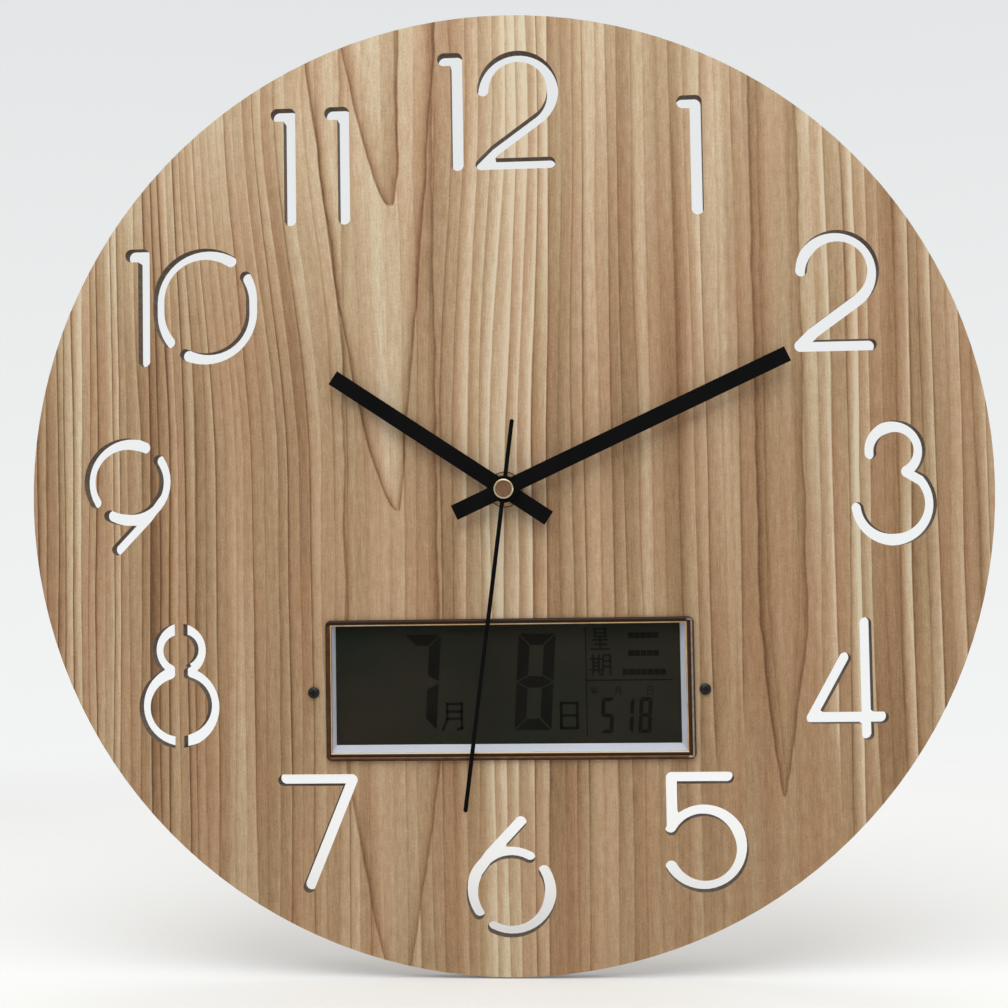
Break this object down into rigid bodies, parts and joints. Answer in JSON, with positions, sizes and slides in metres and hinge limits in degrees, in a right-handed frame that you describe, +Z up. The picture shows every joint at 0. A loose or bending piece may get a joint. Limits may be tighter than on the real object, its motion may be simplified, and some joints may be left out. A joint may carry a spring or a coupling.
{
  "type": "wall clock",
  "caption": "Round wooden wall clock with cut-through numerals, bar hands on a quartz movement and a bronze-framed digital calendar window.",
  "frame": {"origin": "centre of the hanger's keyhole entry, on the plane of the wall", "axes": "+Y points into the wall, so the face looks toward -Y; +Z is up; +X is to the right of the person reading it"},
  "size_m": [0.35, 0.0377, 0.35],
  "materials": {
    "wood": "satin",
    "bronze": "satin",
    "lens": "gloss",
    "white_plastic": "satin",
    "lcd": "gloss",
    "zebra": "matte",
    "pcb": "satin",
    "parts_black": "satin",
    "black_plastic": "matte",
    "grey_plastic": "matte",
    "steel": "satin",
    "black_steel": "satin",
    "black_hand": "satin",
    "brass": "satin",
    "rubber": "matte",
    "cream_plastic": "satin",
    "magnet": "satin",
    "copper": "satin",
    "cell_wrap": "gloss",
    "battery_wrap": "gloss"
  },
  "bodies": {
    "clock": {"dial_panel": "wood", "calendar_bezel": "bronze", "calendar_lens": "lens", "lcd_tray": "white_plastic", "lcd_glass": "lcd", "zebra_strips": "zebra", "calendar_pcb": "pcb", "pcb_parts": "parts_black", "calendar_housing": "black_plastic", "housing_contacts": "steel", "cell_upper": "cell_wrap", "cell_lower": "cell_wrap", "panel_screws": "black_steel", "pcb_screws": "steel", "movement_case": "black_plastic", "movement_cover": "black_plastic", "threaded_bush": "brass", "hanger_plate": "steel", "rubber_washer": "rubber", "brass_washer": "brass", "hex_nut": "brass", "middle_plate": "cream_plastic", "stator": "steel", "coil_bobbin": "white_plastic", "coil_winding": "copper", "movement_pcb": "pcb", "movement_contacts": "steel", "aa_battery": "battery_wrap"},
    "seconds": {"seconds_wheel": "cream_plastic", "second_hand": "black_hand", "hand_cap": "brass"},
    "minutes": {"minute_pipe": "cream_plastic", "centre_wheel": "brass", "minute_hand": "black_hand"},
    "hours": {"hour_wheel": "cream_plastic", "hour_hand": "black_hand"},
    "third": {"third_wheel": "cream_plastic"},
    "fifth": {"fifth_wheel": "cream_plastic"},
    "rotor": {"rotor": "magnet"},
    "setting": {"motion_wheel": "cream_plastic", "setting_knob": "cream_plastic"},
    "door": {"battery_door": "black_plastic"},
    "key_1": {"button_1": "grey_plastic"},
    "key_2": {"button_2": "grey_plastic"},
    "key_3": {"button_3": "grey_plastic"},
    "key_4": {"button_4": "grey_plastic"}
  },
  "joints": [
    {"name": "seconds_turn", "type": "hinge", "parent": "clock", "child": "seconds", "pos_m": [0, -0.015, -0.04], "axis": [0, 1, 0], "continuous": true},
    {"name": "minutes_turn", "type": "hinge", "parent": "clock", "child": "minutes", "pos_m": [0, -0.015, -0.04], "axis": [0, 1, 0], "continuous": true},
    {"name": "hours_turn", "type": "hinge", "parent": "clock", "child": "hours", "pos_m": [0, -0.015, -0.04], "axis": [0, 1, 0], "continuous": true},
    {"name": "third_turn", "type": "hinge", "parent": "clock", "child": "third", "pos_m": [0.0102, -0.015, -0.04], "axis": [0, 1, 0], "continuous": true},
    {"name": "fifth_turn", "type": "hinge", "parent": "clock", "child": "fifth", "pos_m": [0, -0.015, -0.0295], "axis": [0, 1, 0], "continuous": true},
    {"name": "rotor_turn", "type": "hinge", "parent": "clock", "child": "rotor", "pos_m": [0.00509, -0.015, -0.02441], "axis": [0, 1, 0], "continuous": true},
    {"name": "setting_turn", "type": "hinge", "parent": "clock", "child": "setting", "pos_m": [-0.01056, -0.015, -0.04], "axis": [0, 1, 0], "continuous": true},
    {"name": "door_slide", "type": "slide", "parent": "clock", "child": "door", "axis": [-1, 0, 0], "range_m": [0, 0.058]},
    {"name": "key_1_press", "type": "slide", "parent": "clock", "child": "key_1", "axis": [0, -1, 0], "range_m": [0, 0.0008], "stiffness_N_per_m": 300, "springref_m": -0.0005},
    {"name": "key_2_press", "type": "slide", "parent": "clock", "child": "key_2", "axis": [0, -1, 0], "range_m": [0, 0.0008], "stiffness_N_per_m": 300, "springref_m": -0.0005},
    {"name": "key_3_press", "type": "slide", "parent": "clock", "child": "key_3", "axis": [0, -1, 0], "range_m": [0, 0.0008], "stiffness_N_per_m": 300, "springref_m": -0.0005},
    {"name": "key_4_press", "type": "slide", "parent": "clock", "child": "key_4", "axis": [0, -1, 0], "range_m": [0, 0.0008], "stiffness_N_per_m": 300, "springref_m": -0.0005}
  ],
  "couplings": [
    {"joint": "minutes_turn", "follows": "seconds_turn", "ratio": 0.016667},
    {"joint": "hours_turn", "follows": "seconds_turn", "ratio": 0.0013889},
    {"joint": "third_turn", "follows": "seconds_turn", "ratio": -0.13333},
    {"joint": "fifth_turn", "follows": "seconds_turn", "ratio": -6},
    {"joint": "rotor_turn", "follows": "seconds_turn", "ratio": 30},
    {"joint": "setting_turn", "follows": "seconds_turn", "ratio": -0.0055556}
  ]
}
